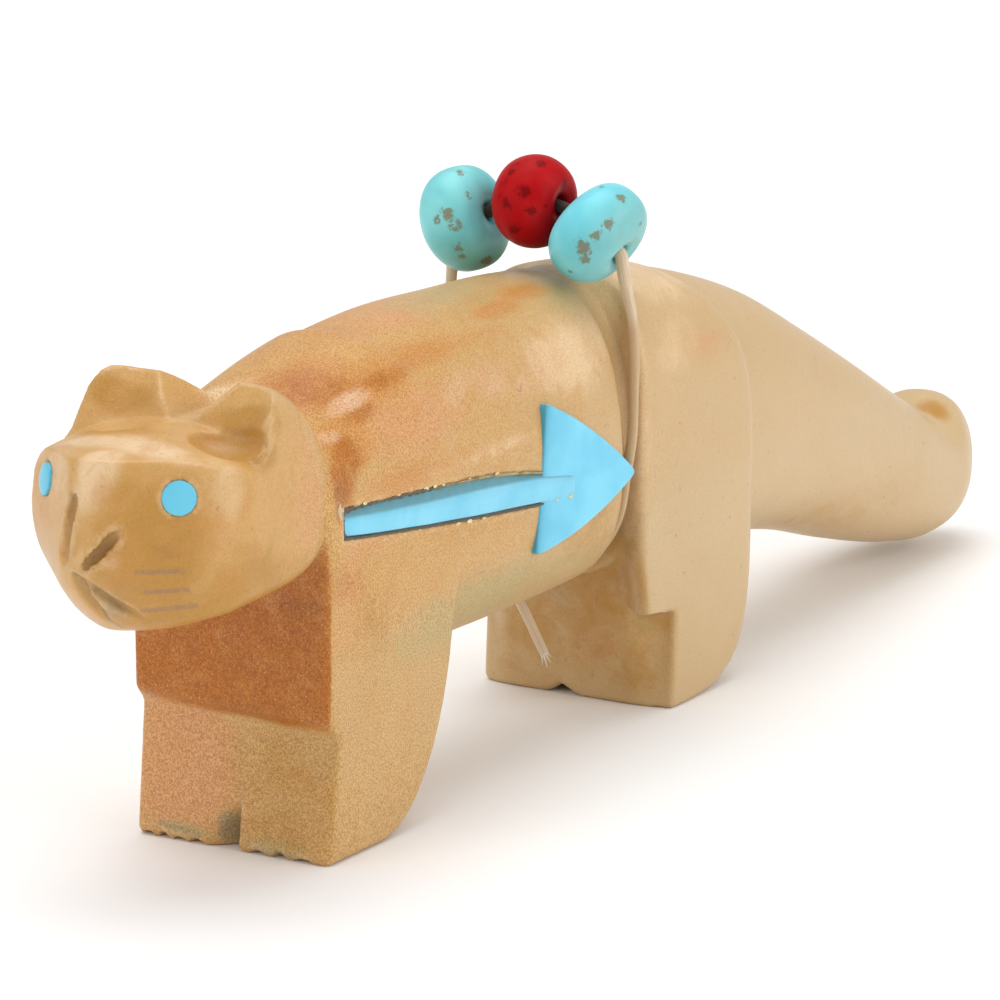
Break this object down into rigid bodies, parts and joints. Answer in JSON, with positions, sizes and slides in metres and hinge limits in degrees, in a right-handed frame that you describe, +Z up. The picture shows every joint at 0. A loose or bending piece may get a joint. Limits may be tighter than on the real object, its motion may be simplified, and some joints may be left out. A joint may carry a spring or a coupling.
{
  "type": "carved stone animal fetish",
  "caption": "Small carved stone animal on block legs with a long thick tail, turquoise eyes and arrow inlay, and beads tied on its back.",
  "frame": {"origin": "under the middle of the whole figure, on the surface that its feet stand on", "axes": "+Z up, -Y the way the head faces, +X the animal's left side"},
  "size_m": [0.0104, 0.0722, 0.0244],
  "materials": {
    "stone": "satin with a fine sandy grain and ochre to orange-brown clouds",
    "turquoise_inlay": "polished",
    "turquoise_bead": "satin with golden-brown matrix specks",
    "coral_bead": "polished, darker blotches",
    "sinew": "waxed cream fibre"
  },
  "bodies": {
    "root": {"stone_figure": "stone", "eye_left": "turquoise_inlay", "eye_right": "turquoise_inlay", "arrow_shaft": "turquoise_inlay", "arrow_head": "turquoise_inlay", "bead_turquoise_left": "turquoise_bead", "bead_coral": "coral_bead", "bead_turquoise_right": "turquoise_bead", "sinew_tie": "sinew"}
  },
  "joints": []
}
